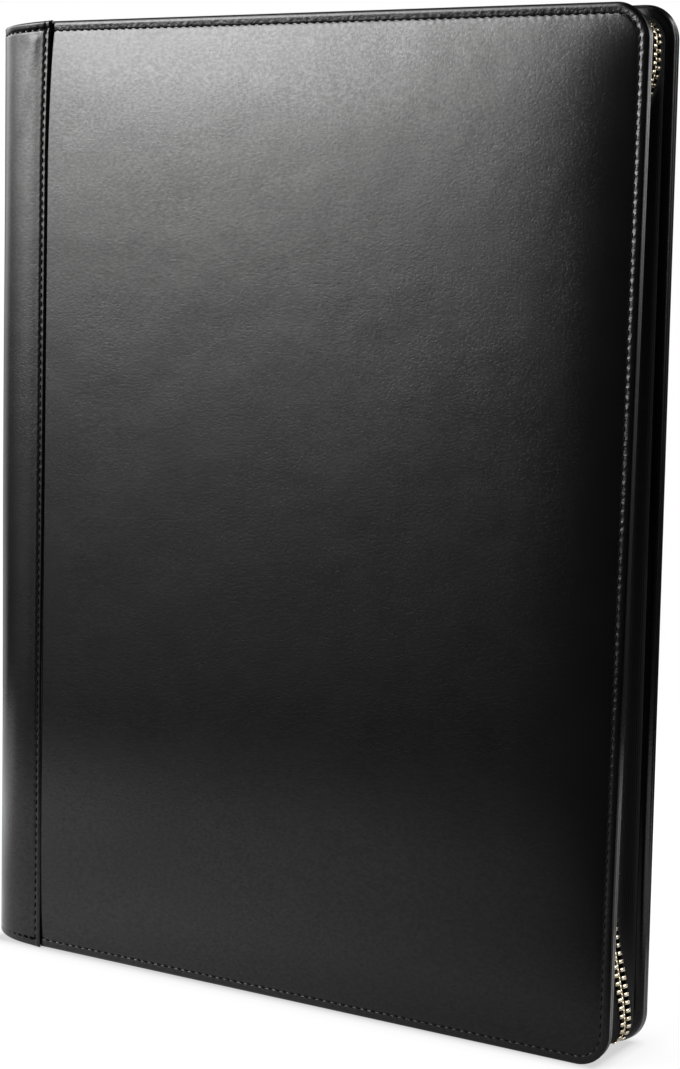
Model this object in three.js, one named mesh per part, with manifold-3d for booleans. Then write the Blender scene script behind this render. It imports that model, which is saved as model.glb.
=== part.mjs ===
// Zip-around leather portfolio, closed, standing on its lower edge.
// Millimetres. X runs from the spine to the fore edge, the front cover faces -Y and Z is up.
// The origin is the middle of the footprint, on the surface that the portfolio stands on.
import * as THREE from 'three';
import { mergeVertices } from 'three/addons/utils/BufferGeometryUtils.js';
import Module from 'manifold-3d';

// Overall form
const HEIGHT = 350;
const WIDTH = 268;
const SPINE_X = -WIDTH / 2;
const FORE_X = WIDTH / 2;
const CLEARANCE = 0.3; // between pieces that lie against each other

// Half thickness, from the mid plane to a cover's outer face: the covers spread towards the floor
const HALF_AT_SPINE = 14.8;
const HALF_AT_FORE_BOTTOM = 16.2;
const HALF_AT_FORE_TOP = 12.2;

// Spine panel: one piece of leather bent round the back and sewn over both covers
const SPINE_WALL = 2.2;
const SPINE_NOSE = 24; // how far the rounded nose reaches forward of the back
const SPINE_NOSE_STEPS = 18;
const SEAM_FROM_BACK = { bottom: 27.8, top: 29.4 }; // folded edge of the panel on each cover
const SEAM_OVERLAP = 7; // how far a cover reaches under the panel, at the top
const HEM_ROUND = 0.7;

// Section of the panel beside its folded edge: how far back from it, and how deep the thread pulls
const SEAM_SECTION = [
  { at: 'rounded fold', back: 0.7, sunk: 0 },
  { at: 'stitched groove', back: 3.3, sunk: 0.4 },
];
const SEAM_FOLD_DROP = 0.7; // the outer face at the fold's very edge lies this much lower

// Covers: padded boards wrapped in leather
const COVER_THICKNESS = 5;
const COVER_START_X = SPINE_X + SEAM_FROM_BACK.top - SEAM_OVERLAP;
const CORNER_RADIUS = 12;
const TIGHTEST_CORNER = 3;
const COVER_STEPS = { bottom: 5, corner: 6, fore: 7, top: 5, spine: 5 };

// Section of a cover from its inner face round the rolled edge to the middle of the padded panel.
// inset: in from the three free edges, hinge: in from the hidden edge beside the spine,
// depth: behind the nominal outer face, below zero where the padding stands proud of it.
const COVER_SECTION = [
  { at: 'inner face', inset: 1, hinge: 1, depth: COVER_THICKNESS },
  { at: 'edge, inner side', inset: 0, hinge: 0, depth: 4 },
  { at: 'edge, outer side', inset: 0, hinge: 0, depth: 1.6 },
  { at: 'edge shoulder', inset: 0.5, hinge: 0.5, depth: 0.5 },
  { at: 'rolled rim', inset: 1.5, hinge: 1, depth: 0 },
  { at: 'stitched groove', inset: 3.2, hinge: 3, depth: 0.6 },
  { at: 'panel foot', inset: 5, hinge: SEAM_OVERLAP, depth: 0 },
  { at: 'panel shoulder', inset: 15, hinge: 19, depth: -0.8 },
  { at: 'panel crown', inset: 40, hinge: 45, depth: -1.4 },
  { at: 'panel middle', inset: 85, hinge: 90, depth: -1.6 },
];

// Zip: its line follows the covers' three free edges, out at a bulge by each corner, sunk between them
const TAPE_END_X = SPINE_X + 14; // both tape ends are tucked into the hollow spine
const CHAIN_TOP_X = SPINE_X + 40;
const CHAIN_BOTTOM_X = SPINE_X + 30;
const CHAIN_INSET_BETWEEN = 7.5;

// A bulge of the zip, along its line: its middle past the corner's middle, the length to either side
// that lies at this inset, and the reach before and after it to where the zip is sunk
const TOP_BULGE = { pastCorner: 12.4, inset: 3.2, hold: 4, before: 34, after: 23 };
const LOW_BULGE = { pastCorner: -4, inset: 1.6, hold: 1, before: 42, after: 15 };

const CHAIN_TWIST = THREE.MathUtils.degToRad(16); // the rear row stands out above the lower corner
const TWIST_HEIGHT = 24;
const TWIST_REACH = 32;

const TOOTH_PITCH = 2.75;
const CHAIN_HALF_WIDTH = 2.95;
const CHAIN_THICKNESS = 2.4;
const TOOTH_PAST_MIDDLE = 0.7; // how far a tooth reaches into the other row

const TAPE_WALL = 1;
const TAPE_FLAT = 4.6; // from the chain's middle to the fold
const TAPE_TURN_INSET = 3; // where the tape turns back along the cover's inner face
const TAPE_TURN = 1.2;
const TAPE_FLANGE_INSET = 10;
const TAPE_STEP = 12;
const TAPE_CORNER_STEP = 3.2;

// Zip slider with its pull, at the closed end by the spine
const SLIDER = { length: 9, width: 8.4, plate: 1.3, gap: CHAIN_THICKNESS + 2 * CLEARANCE, post: 2.4 };
const SLIDER_BAIL = { length: 4, width: 2.4, height: 1.6 };
const PULL = { length: 26, width: 6, thickness: 1.2, cornerRadius: 2.6 };

// Finishes
const LEATHER = { color: 0x18181a, roughness: 0.36, metalness: 0 };
const TAPE_CLOTH = { color: 0x0e0e10, roughness: 0.9, metalness: 0 };
const BRASS = { color: 0xdcc891, roughness: 0.28, metalness: 1 };

const FRONT = -1;
const REAR = 1;
const wasm = await Module();
wasm.setup();

// Distance from the mid plane to a cover's nominal outer face
function coverHalf(x, z) {
  const atFore = THREE.MathUtils.lerp(HALF_AT_FORE_BOTTOM, HALF_AT_FORE_TOP, z / HEIGHT);
  return THREE.MathUtils.lerp(HALF_AT_SPINE, atFore, (x - SPINE_X) / WIDTH);
}

// A closed mesh from points and quads or triangles, turned so that its faces point out
function closedGeometry(points, faces) {
  const triangles = faces.flatMap((f) => (f.length === 4 ? [[f[0], f[1], f[2]], [f[0], f[2], f[3]]] : [f]));
  const volume = triangles.reduce((sum, [a, b, c]) => {
    const normal = new THREE.Vector3().crossVectors(points[b], points[c]);
    return sum + points[a].dot(normal);
  }, 0);
  const facingOut = volume > 0 ? triangles : triangles.map(([a, b, c]) => [a, c, b]);
  const geometry = new THREE.BufferGeometry().setFromPoints(points);
  geometry.setIndex(facingOut.flat());
  geometry.computeVertexNormals();
  return geometry;
}

// A solid skinned over closed rings, with each end closed by a fan about its middle
function skinGeometry(rings) {
  const count = rings[0].length;
  const points = rings.flat();
  const faces = [];
  for (let ring = 0; ring < rings.length - 1; ring += 1) {
    for (let i = 0; i < count; i += 1) {
      const next = (i + 1) % count;
      const low = ring * count;
      const high = low + count;
      faces.push([low + i, low + next, high + next, high + i]);
    }
  }
  const lastRing = (rings.length - 1) * count;
  const middleOf = (ring) => ring.reduce((sum, p) => sum.add(p), new THREE.Vector3()).divideScalar(count);
  points.push(middleOf(rings[0]), middleOf(rings[rings.length - 1]));
  const firstMiddle = points.length - 2;
  const lastMiddle = points.length - 1;
  for (let i = 0; i < count; i += 1) {
    const next = (i + 1) % count;
    faces.push([next, i, firstMiddle], [lastRing + i, lastRing + next, lastMiddle]);
  }
  return closedGeometry(points, faces);
}

// A bent wall through sections, each a row of points on its outer side and one on its inner side
function wallGeometry(sections) {
  const count = sections[0].outer.length;
  const points = sections.flatMap((s) => [...s.outer, ...s.inner]);
  const outer = (section, i) => section * 2 * count + i;
  const inner = (section, i) => section * 2 * count + count + i;
  const faces = [];
  const last = sections.length - 1;
  for (let s = 0; s < last; s += 1) {
    for (let i = 0; i < count - 1; i += 1) {
      faces.push([outer(s, i), outer(s, i + 1), outer(s + 1, i + 1), outer(s + 1, i)]);
      faces.push([inner(s, i), inner(s + 1, i), inner(s + 1, i + 1), inner(s, i + 1)]);
    }
    const end = count - 1;
    faces.push([outer(s, 0), outer(s + 1, 0), inner(s + 1, 0), inner(s, 0)]);
    faces.push([outer(s, end), inner(s, end), inner(s + 1, end), outer(s + 1, end)]);
  }
  for (let i = 0; i < count - 1; i += 1) {
    faces.push([outer(0, i), inner(0, i), inner(0, i + 1), outer(0, i + 1)]);
    faces.push([outer(last, i), outer(last, i + 1), inner(last, i + 1), inner(last, i)]);
  }
  return closedGeometry(points, faces);
}

// Points that divide a straight line into equal steps, without its last point
function lineSteps(from, to, steps) {
  return Array.from({ length: steps }, (_, i) => from.clone().lerp(to, i / steps));
}

// Points round a quarter circle, without its last point
function cornerSteps(centre, radius, startAngle, steps) {
  return Array.from({ length: steps }, (_, i) => {
    const angle = startAngle + (i / steps) * (Math.PI / 2);
    return new THREE.Vector2(centre.x + radius * Math.cos(angle), centre.y + radius * Math.sin(angle));
  });
}

// A cover's outline in X and Z, square beside the spine and round at the fore edge
function coverOutline({ inset, hinge }) {
  const left = COVER_START_X + hinge;
  const right = FORE_X - inset;
  const top = HEIGHT - inset;
  const radius = Math.max(CORNER_RADIUS - inset, TIGHTEST_CORNER);
  const point = (x, z) => new THREE.Vector2(x, z);
  return [
    ...lineSteps(point(left, inset), point(right - radius, inset), COVER_STEPS.bottom),
    ...cornerSteps(point(right - radius, inset + radius), radius, -Math.PI / 2, COVER_STEPS.corner),
    ...lineSteps(point(right, inset + radius), point(right, top - radius), COVER_STEPS.fore),
    ...cornerSteps(point(right - radius, top - radius), radius, 0, COVER_STEPS.corner),
    ...lineSteps(point(right - radius, top), point(left, top), COVER_STEPS.top),
    ...lineSteps(point(left, top), point(left, inset), COVER_STEPS.spine),
  ];
}

function coverGeometry(side) {
  const rings = COVER_SECTION.map((row) => coverOutline(row).map(({ x, y: z }) => {
    return new THREE.Vector3(x, side * (coverHalf(x, z) - row.depth), z);
  }));
  return skinGeometry(rings);
}

// Place of the spine panel's folded edges at one height: the seam leans a little
function seamX(z) {
  return SPINE_X + THREE.MathUtils.lerp(SEAM_FROM_BACK.bottom, SEAM_FROM_BACK.top, z / HEIGHT);
}

// Section of the spine panel at one height, from the front seam round the nose to the rear seam.
// hem draws both faces of the wall towards its middle, where the leather is turned at the ends.
function spineSection(z, hem) {
  const lift = CLEARANCE + SPINE_WALL;
  const noseX = SPINE_X + SPINE_NOSE;
  const noseHalf = coverHalf(noseX, z) + lift;
  const outer = [];
  const inner = [];
  const addPair = (x, y, normal) => {
    outer.push(new THREE.Vector3(x - normal.x * hem, y - normal.y * hem, z));
    inner.push(new THREE.Vector3(x - normal.x * (SPINE_WALL - hem), y - normal.y * (SPINE_WALL - hem), z));
  };
  const addSeam = (side) => {
    const foldX = seamX(z);
    const underside = coverHalf(foldX, z) + CLEARANCE;
    const edgeTop = underside + SPINE_WALL - SEAM_FOLD_DROP - hem;
    outer.push(new THREE.Vector3(foldX, side * edgeTop, z));
    inner.push(new THREE.Vector3(foldX, side * (underside + hem), z));
    for (const { back, sunk } of SEAM_SECTION) {
      const x = foldX - back;
      const face = coverHalf(x, z) + CLEARANCE;
      outer.push(new THREE.Vector3(x, side * (face + SPINE_WALL - Math.max(sunk, hem)), z));
      inner.push(new THREE.Vector3(x, side * (face + hem), z));
    }
  };
  addSeam(FRONT);
  for (let i = 0; i <= SPINE_NOSE_STEPS; i += 1) {
    const angle = -Math.PI / 2 - (i / SPINE_NOSE_STEPS) * Math.PI;
    const unit = new THREE.Vector2(Math.cos(angle), Math.sin(angle));
    const normal = new THREE.Vector2(unit.x / SPINE_NOSE, unit.y / noseHalf).normalize();
    addPair(noseX + unit.x * SPINE_NOSE, unit.y * noseHalf, normal);
  }
  // The rear seam is met from the nose, so its points run the other way
  const rearStart = outer.length;
  addSeam(REAR);
  outer.push(...outer.splice(rearStart).reverse());
  inner.push(...inner.splice(rearStart).reverse());
  return { outer, inner };
}

function spinePanelGeometry() {
  return wallGeometry([
    spineSection(0, HEM_ROUND),
    spineSection(HEM_ROUND, 0),
    spineSection(HEIGHT / 2, 0),
    spineSection(HEIGHT - HEM_ROUND, 0),
    spineSection(HEIGHT, HEM_ROUND),
  ]);
}

// The covers' free edges as one line: along the top, down the fore edge and back along the bottom
const edgeLine = new THREE.Path();
edgeLine.moveTo(TAPE_END_X, HEIGHT);
edgeLine.lineTo(FORE_X - CORNER_RADIUS, HEIGHT);
edgeLine.absarc(FORE_X - CORNER_RADIUS, HEIGHT - CORNER_RADIUS, CORNER_RADIUS, Math.PI / 2, 0, true);
edgeLine.lineTo(FORE_X, CORNER_RADIUS);
edgeLine.absarc(FORE_X - CORNER_RADIUS, CORNER_RADIUS, CORNER_RADIUS, 0, -Math.PI / 2, true);
edgeLine.lineTo(TAPE_END_X, 0);

const EDGE_LENGTH = edgeLine.getLength();
const QUARTER_TURN = (Math.PI / 2) * CORNER_RADIUS;
const TOP_RUN = FORE_X - CORNER_RADIUS - TAPE_END_X;
const TOP_CORNER_AT = TOP_RUN + QUARTER_TURN / 2;
const BOTTOM_CORNER_AT = EDGE_LENGTH - TOP_CORNER_AT;
const TWIST_AT = EDGE_LENGTH - TOP_RUN - QUARTER_TURN - (TWIST_HEIGHT - CORNER_RADIUS);

// How far the chain's middle lies in from the covers' edges, by one bulge alone
function bulgeInset(along, cornerAt, { pastCorner, inset, hold, before, after }) {
  const away = along - cornerAt - pastCorner;
  const sunk = THREE.MathUtils.smoothstep(Math.abs(away), hold, away < 0 ? before : after);
  return THREE.MathUtils.lerp(inset, CHAIN_INSET_BETWEEN, sunk);
}

function chainInset(along) {
  const top = bulgeInset(along, TOP_CORNER_AT, TOP_BULGE);
  const low = bulgeInset(along, BOTTOM_CORNER_AT, LOW_BULGE);
  return Math.min(top, low);
}

function chainTwist(along) {
  const away = Math.min(Math.abs(along - TWIST_AT) / TWIST_REACH, 1);
  return CHAIN_TWIST * Math.cos((away * Math.PI) / 2) ** 2;
}

// A point of the zip: its place along the edge line, inset from that line, and Y
function zipPoint(along, inset, y) {
  const place = edgeLine.getPointAt(along / EDGE_LENGTH);
  const tangent = edgeLine.getTangentAt(along / EDGE_LENGTH);
  return new THREE.Vector3(place.x + tangent.y * inset, y, place.y - tangent.x * inset);
}

// A point in the chain's own cross section: across towards the rear cover, and in from the chain
function chainFramePoint(along, across, inward) {
  const twist = chainTwist(along);
  const inset = chainInset(along) - across * Math.sin(twist) + inward * Math.cos(twist);
  return { inset, y: across * Math.cos(twist) + inward * Math.sin(twist) };
}

function chainPoint(along, across, inward) {
  const { inset, y } = chainFramePoint(along, across, inward);
  return zipPoint(along, inset, y);
}

// Both rows of closed teeth as one body, each tooth a step to its own side
function zipChainGeometry() {
  const start = CHAIN_TOP_X - TAPE_END_X;
  const end = EDGE_LENGTH - (CHAIN_BOTTOM_X - TAPE_END_X);
  const steps = Math.round((end - start) / (TOOTH_PITCH / 2));
  const sections = Array.from({ length: steps + 1 }, (_, i) => {
    const along = THREE.MathUtils.lerp(start, end, i / steps);
    const frontEdge = i % 2 ? -CHAIN_HALF_WIDTH : -TOOTH_PAST_MIDDLE;
    const rearEdge = i % 2 ? TOOTH_PAST_MIDDLE : CHAIN_HALF_WIDTH;
    const row = (inward) => [chainPoint(along, frontEdge, inward), chainPoint(along, rearEdge, inward)];
    return { outer: row(-CHAIN_THICKNESS / 2), inner: row(CHAIN_THICKNESS / 2) };
  });
  return wallGeometry(sections);
}

// Middle line of a tape's cross section: chain side, fold, turn at the cover and the sewn flange
function tapeMiddleLine(along, side) {
  const { x, y: z } = edgeLine.getPointAt(along / EDGE_LENGTH);
  const onCover = coverHalf(x, z) - COVER_THICKNESS - CLEARANCE - TAPE_WALL / 2;
  const chainSide = chainFramePoint(along, side * (CHAIN_HALF_WIDTH + CLEARANCE), 0);
  const fold = chainFramePoint(along, side * TAPE_FLAT, 0);
  return [
    new THREE.Vector2(chainSide.inset, chainSide.y),
    new THREE.Vector2(fold.inset, fold.y),
    new THREE.Vector2(TAPE_TURN_INSET, side * (onCover - TAPE_TURN)),
    new THREE.Vector2(TAPE_TURN_INSET, side * onCover),
    new THREE.Vector2(TAPE_FLANGE_INSET, side * onCover),
  ];
}

// The two faces of a wall about a bent middle line, mitred at its folds
function thicken(line, wall) {
  const turn = (from, to) => {
    const way = to.clone().sub(from).normalize();
    return new THREE.Vector2(-way.y, way.x);
  };
  return line.map((point, i) => {
    const before = turn(line[Math.max(i - 1, 0)], line[Math.max(i, 1)]);
    const after = turn(line[Math.min(i, line.length - 2)], line[Math.min(i + 1, line.length - 1)]);
    const mitre = before.clone().add(after).normalize();
    mitre.multiplyScalar(wall / 2 / mitre.dot(after));
    return { outer: point.clone().add(mitre), inner: point.clone().sub(mitre) };
  });
}

// Places along the edge line for a tape's sections, closer round the corners
function tapePlaces() {
  const runs = [
    { length: TOP_RUN, step: TAPE_STEP },
    { length: QUARTER_TURN, step: TAPE_CORNER_STEP },
    { length: EDGE_LENGTH - 2 * (TOP_RUN + QUARTER_TURN), step: TAPE_STEP },
    { length: QUARTER_TURN, step: TAPE_CORNER_STEP },
    { length: TOP_RUN, step: TAPE_STEP },
  ];
  const places = [0];
  for (const { length, step } of runs) {
    const start = places[places.length - 1];
    const count = Math.ceil(length / step);
    for (let i = 1; i <= count; i += 1) {
      places.push(Math.min(start + (i / count) * length, EDGE_LENGTH));
    }
  }
  return places;
}

function zipTapeGeometry(side) {
  return wallGeometry(tapePlaces().map((along) => {
    const faces = thicken(tapeMiddleLine(along, side), TAPE_WALL);
    const place = ({ x: inset, y }) => zipPoint(along, inset, y);
    return { outer: faces.map((f) => place(f.outer)), inner: faces.map((f) => place(f.inner)) };
  }));
}

function toSolid(geometry) {
  const bare = geometry.clone();
  bare.deleteAttribute('normal');
  bare.deleteAttribute('uv');
  const merged = mergeVertices(bare);
  return new wasm.Manifold(new wasm.Mesh({
    numProp: 3,
    vertProperties: new Float32Array(merged.attributes.position.array),
    triVerts: new Uint32Array(merged.index.array),
  }));
}

function joined(geometries) {
  const mesh = geometries.map(toSolid).reduce((sum, solid) => sum.add(solid)).getMesh();
  const geometry = new THREE.BufferGeometry();
  geometry.setAttribute('position', new THREE.BufferAttribute(mesh.vertProperties, mesh.numProp));
  geometry.setIndex(new THREE.BufferAttribute(mesh.triVerts, 1));
  geometry.computeVertexNormals();
  return geometry;
}

// A rounded strip lying in X and Y, for the pull
function pullGeometry() {
  const { length, width, thickness, cornerRadius: r } = PULL;
  const half = width / 2;
  const shape = new THREE.Shape();
  shape.moveTo(0, -half);
  shape.lineTo(length - r, -half);
  shape.absarc(length - r, -half + r, r, -Math.PI / 2, 0);
  shape.absarc(length - r, half - r, r, 0, Math.PI / 2);
  shape.lineTo(0, half);
  shape.closePath();
  return new THREE.ExtrudeGeometry(shape, { depth: thickness, bevelEnabled: false, curveSegments: 4 });
}

// Two plates over and under the chain's first teeth, a post ahead of them, and the pull on a bail.
// Its own origin is the middle of the chain's end, with X along the chain and Z out of the zip.
function zipSliderGeometry() {
  const plateZ = SLIDER.gap / 2 + SLIDER.plate / 2;
  const postX = -CLEARANCE - SLIDER.post / 2;
  const plateX = postX - SLIDER.post / 2 + SLIDER.length / 2;
  const outerFace = SLIDER.gap / 2 + SLIDER.plate;
  const plate = (z) => {
    return new THREE.BoxGeometry(SLIDER.length, SLIDER.width, SLIDER.plate).translate(plateX, 0, z);
  };
  const postHeight = SLIDER.gap + SLIDER.plate;
  const post = new THREE.BoxGeometry(SLIDER.post, SLIDER.post, postHeight).translate(postX, 0, 0);
  const sunk = SLIDER.plate / 2;
  const bail = new THREE.BoxGeometry(SLIDER_BAIL.length, SLIDER_BAIL.width, SLIDER_BAIL.height + sunk);
  bail.translate(plateX, 0, outerFace + (SLIDER_BAIL.height - sunk) / 2);
  const pull = pullGeometry().translate(plateX, 0, outerFace + SLIDER_BAIL.height - PULL.thickness);
  return joined([plate(plateZ), plate(-plateZ), post, bail, pull]);
}

function piece(name, geometry, finish) {
  const mesh = new THREE.Mesh(geometry, new THREE.MeshStandardMaterial(finish));
  mesh.name = name;
  return mesh;
}

const portfolio = new THREE.Group();
portfolio.name = 'portfolio';
portfolio.add(piece('front_cover', coverGeometry(FRONT), LEATHER));
portfolio.add(piece('rear_cover', coverGeometry(REAR), LEATHER));
portfolio.add(piece('spine_panel', spinePanelGeometry(), LEATHER));
portfolio.add(piece('zip_tape_front', zipTapeGeometry(FRONT), TAPE_CLOTH));
portfolio.add(piece('zip_tape_rear', zipTapeGeometry(REAR), TAPE_CLOTH));
portfolio.add(piece('zip_chain', zipChainGeometry(), BRASS));

const slider = piece('zip_slider', zipSliderGeometry(), BRASS);
slider.position.copy(zipPoint(CHAIN_TOP_X - TAPE_END_X, CHAIN_INSET_BETWEEN, 0));
portfolio.add(slider);

export default portfolio;
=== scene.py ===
import math

import bmesh
import bpy
import numpy as np
from mathutils import Matrix, Vector


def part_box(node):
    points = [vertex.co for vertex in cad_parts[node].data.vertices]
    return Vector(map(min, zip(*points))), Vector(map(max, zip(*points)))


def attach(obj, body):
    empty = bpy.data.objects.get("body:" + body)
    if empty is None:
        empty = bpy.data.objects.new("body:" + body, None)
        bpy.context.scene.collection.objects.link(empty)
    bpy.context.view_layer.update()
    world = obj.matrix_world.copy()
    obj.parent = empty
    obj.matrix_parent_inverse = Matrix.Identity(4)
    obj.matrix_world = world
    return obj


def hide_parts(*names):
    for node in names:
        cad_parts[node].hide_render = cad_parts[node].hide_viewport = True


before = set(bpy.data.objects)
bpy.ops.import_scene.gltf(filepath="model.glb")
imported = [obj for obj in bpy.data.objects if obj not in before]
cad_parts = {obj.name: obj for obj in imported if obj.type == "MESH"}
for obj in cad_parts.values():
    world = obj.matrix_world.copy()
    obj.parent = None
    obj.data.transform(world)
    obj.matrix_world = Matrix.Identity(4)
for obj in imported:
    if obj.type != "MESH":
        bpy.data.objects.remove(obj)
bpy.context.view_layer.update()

MM = 0.001
TINY = 0.01 * MM
FRONT = -1
REAR = 1

# Overall sizes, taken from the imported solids
COVER_LOW, COVER_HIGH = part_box("front_cover")
SPINE_LOW, SPINE_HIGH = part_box("spine_panel")
HEIGHT = COVER_HIGH.z
FORE_X = COVER_HIGH.x
COVER_START_X = COVER_LOW.x
SPINE_X = SPINE_LOW.x
SEAM_X = SPINE_HIGH.x
SEAM_DRIFT = 1.6 * MM
SEAM_FLARE = {"from": 0.853, "shift": 1.3 * MM}
WIDTH = FORE_X - SPINE_X
CLEARANCE = 0.3 * MM

# Half thickness, from the mid plane to a cover's outer face: the covers spread towards the floor
HALF_AT_SPINE = 14.8 * MM
HALF_AT_FORE_BOTTOM = 16.2 * MM
HALF_AT_FORE_TOP = 12.2 * MM

# Covers: padded boards wrapped in leather, modelled lying flat with the outer face up
COVER_THICKNESS = 5 * MM
CORNER_RADIUS = 12 * MM
CORNER_STEPS = 30
EDGE_WALL = (-3.6 * MM, -1.0 * MM)
EDGE_LEAN = math.tan(math.radians(5))
WALL_TURN = 0.06 * MM
EDGE_CREASE = {"height": -2.3 * MM, "half_width": 0.14 * MM, "depth": 0.2 * MM}
REAR_TALLER = 0.8 * MM
TOP_DROP = {"edge": 0.2 * MM, "stitches": 0.7 * MM, "reach": 16 * MM}
LOW_GROOVE_SHARE = 0.72
STITCH_INSET = 3.1 * MM
GROOVE_DEPTH = 0.21 * MM
CUTS_LONG = (41, 14)
CUTS_SHORT = (28, 14)
CUTS_HINGE = (23,)
FIRST_COLUMN_X = COVER_START_X + 9.5 * MM

# The rim, rounded over at the edge and leaning in to the stitched groove, in millimetres
RIM_SECTION = (
    # in from the edge, height over the nominal face along the ends, the same along the fore edge
    (0, -1.0, -1.0),
    (0.1, -0.66, -0.72),
    (0.28, -0.42, -0.46),
    (0.52, -0.25, -0.29),
    (0.8, -0.12, -0.185),
    (1.02, -0.05, -0.13),
    (1.25, -0.014, -0.082),
    (1.45, -0.02, -0.05),
    (1.8, -0.047, -0.018),
    (2.2, -0.078, -0.012),
    (2.6, -0.107, -0.045),
    (2.85, -0.127, -0.072),
    (2.98, -0.16, -0.085),
    (3.1, -0.21, -0.09),
    (3.25, -0.19, -0.085),
)
RIM_CREST = 1.2 * MM
EVEN_INSETS = (3.5, 4.1, 5.0, 6.2, 7.4, 8.6)
SCALED_INSETS = (10.5, 13, 16, 20, 25, 32, 42, 60, 90, 116)

# The padded panel: how much it rises, and over what reach from each side
PANEL_CROWN = 2.6 * MM
PANEL_FOOT = {"rise": 0.12 * MM, "reach": 0.5 * MM}
PANEL_TUCK = 12 * MM
PANEL_REACH = {"fore": 12 * MM, "ends": 16 * MM, "seam": 30 * MM}

# Stitching
STITCH_PITCH = 3.1 * MM
STITCH_LENGTH = 2.7 * MM
THREAD_RADIUS = 0.32 * MM
STITCH_SLANT = math.radians(7)
THREAD_SEAT = 0.08 * MM
HOLE_DEPTH = 0.038 * MM
RIM_FOLDS = 0.022 * MM
PANEL_FOLDS = 0.016 * MM
WRINKLES = 0.012 * MM
PUCKERED = {"middle": 2.2 * MM, "reach": 1.5 * MM}

# Spine panel: one piece of leather bent round the back and sewn over both covers
SPINE_WALL = 2.2 * MM
SPINE_NOSE = 24 * MM
SPINE_COLUMNS = 88
SPINE_ROWS = 540
SPINE_CLOSE_ROWS = 0.6
SPINE_UNDER_ROUND = 0.5 * MM
FOLD_ROUND = 0.95 * MM
HEM_ROUND = 0.9 * MM
HEM_LEAN = math.tan(math.radians(4.5))
HEM_SETTLE = 0.8 * MM
LOW_HEM_SHARE = 0.2
LOW_HEM_SUNK = 0.26 * MM
SEAM_START = 2.5 * MM
SEAM_STITCH = 2.0 * MM
HEM_STITCH = 3.0 * MM
SEAM_GROOVE = 0.2 * MM
GROOVE_WIDTH = 0.5 * MM
FOLD_PARED = {"depth": 1.0 * MM, "reach": 20 * MM}
NOSE_LIFT = {"height": 1.4 * MM, "reach_up": 45 * MM, "reach_back": 25 * MM}
NOSE_DROP = {"depth": 1.6 * MM, "reach_down": 45 * MM}

# Zip: it follows the covers' three free edges, out at the corners and sunk between them
TAPE_END_X = SPINE_X + 14 * MM
CHAIN_TOP_X = SPINE_X + 40 * MM
CHAIN_BOTTOM_X = SPINE_X + 30 * MM
CHAIN_INSET_BETWEEN = 7.5 * MM
TOP_BULGE = {"past": 12.4 * MM, "inset": 3.2 * MM, "hold": 4 * MM, "before": 34 * MM, "after": 23 * MM}
LOW_BULGE = {"past": -4 * MM, "inset": 1.6 * MM, "hold": 1 * MM, "before": 42 * MM, "after": 15 * MM}
CHAIN_TWIST = math.radians(16)
TWIST_HEIGHT = 24 * MM
TWIST_REACH = 32 * MM
TOOTH_PITCH = 2.75 * MM
CHAIN_HALF_WIDTH = 2.95 * MM
TAPE_WALL = 0.9 * MM
TAPE_UNDER_TEETH = 0.5 * MM
TAPE_FLAT = 4.6 * MM
TAPE_TURN_INSET = 3 * MM
TAPE_TURN = 1.2 * MM
TAPE_FLANGE_INSET = 10 * MM
TAPE_WIDTH = 19 * MM
TAPE_COLUMNS = 420
TAPE_ROWS = 16
TAPE_SOFT = 0.07

# Slider and pull at the closed end of the chain, X along the chain and Z out of it
SLIDER_X = 1.8 * MM
SLIDER_GAP = 3.0 * MM
SLIDER_POST = 2.4 * MM
SLIDER_POST_X = -1.5 * MM
SLIDER_PLATE = {
    "length": 9 * MM, "width": 8.4 * MM, "thickness": 1.3 * MM,
    "rail": 0.7 * MM, "rail_depth": 0.5 * MM, "nose_round": 2.4 * MM,
}
SLIDER_BAIL = {"length": 4.6 * MM, "width": 2.4 * MM, "top": 5.2 * MM, "bar": 0.75 * MM}
SLIDER_PULL = {
    "eye_length": 4.5 * MM, "eye_width": 4.6 * MM, "thickness": 1.0 * MM, "lift": 0.45 * MM,
    "eye_bar": 0.8 * MM, "end_round": 1.8 * MM, "slot_margin": 1.3 * MM, "slot_from_end": 6 * MM,
}

# Camera, from the photograph, which is 680 pixels wide
IMAGE_HEIGHT = 1069
FOCAL_PIXELS = 2398
CAMERA_PLACE = Vector((0.4571, -0.7206, 0.2737))
CAMERA_AZIMUTH = math.radians(31.491)
CAMERA_ELEVATION = math.radians(7.088)
CAMERA_ROLL = math.radians(1.215)
SENSOR = 36

# Studio: a white tent, bright above, dark towards the front right where the camera stands
TENT_BRIGHTNESS = 13
TENT_BY_HEIGHT = (
    # degrees above the horizon, share of the brightness
    (-90, 0.02),
    (-20, 0.008),
    (-10, 0.016),
    (-5.3, 0.041),
    (-1.6, 0.107),
    (1.9, 0.36),
    (4.5, 0.63),
    (8, 0.93),
    (15, 0.97),
    (24, 1.0),
    (29, 0.9),
    (38, 0.35),
    (48, 0.08),
    (66, 0.03),
    (90, 0.02),
)
TENT_BY_TURN = (
    # degrees to the right of straight ahead of the front cover, share of the brightness
    (-180, 0.002),
    (-166, 0.002),
    (-134, 0.002),
    (-119, 0.03),
    (-107, 0.2),
    (-94, 0.2),
    (-84, 0.22),
    (-72, 0.32),
    (-60, 0.56),
    (-50, 0.8),
    (-44, 1.0),
    (-33, 1.0),
    (-30, 0.6),
    (-28, 0.4),
    (-26.5, 0.29),
    (-25, 0.16),
    (-23, 0.05),
    (-20, 0.012),
    (-12, 0.004),
    (90, 0.004),
    (106, 0.3),
    (130, 0.3),
    (140, 0.02),
    (154, 0.01),
    (159, 0.2),
    (161.5, 0.27),
    (164.5, 0.27),
    (167, 0.2),
    (171, 0.02),
    (180, 0.002),
)
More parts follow.
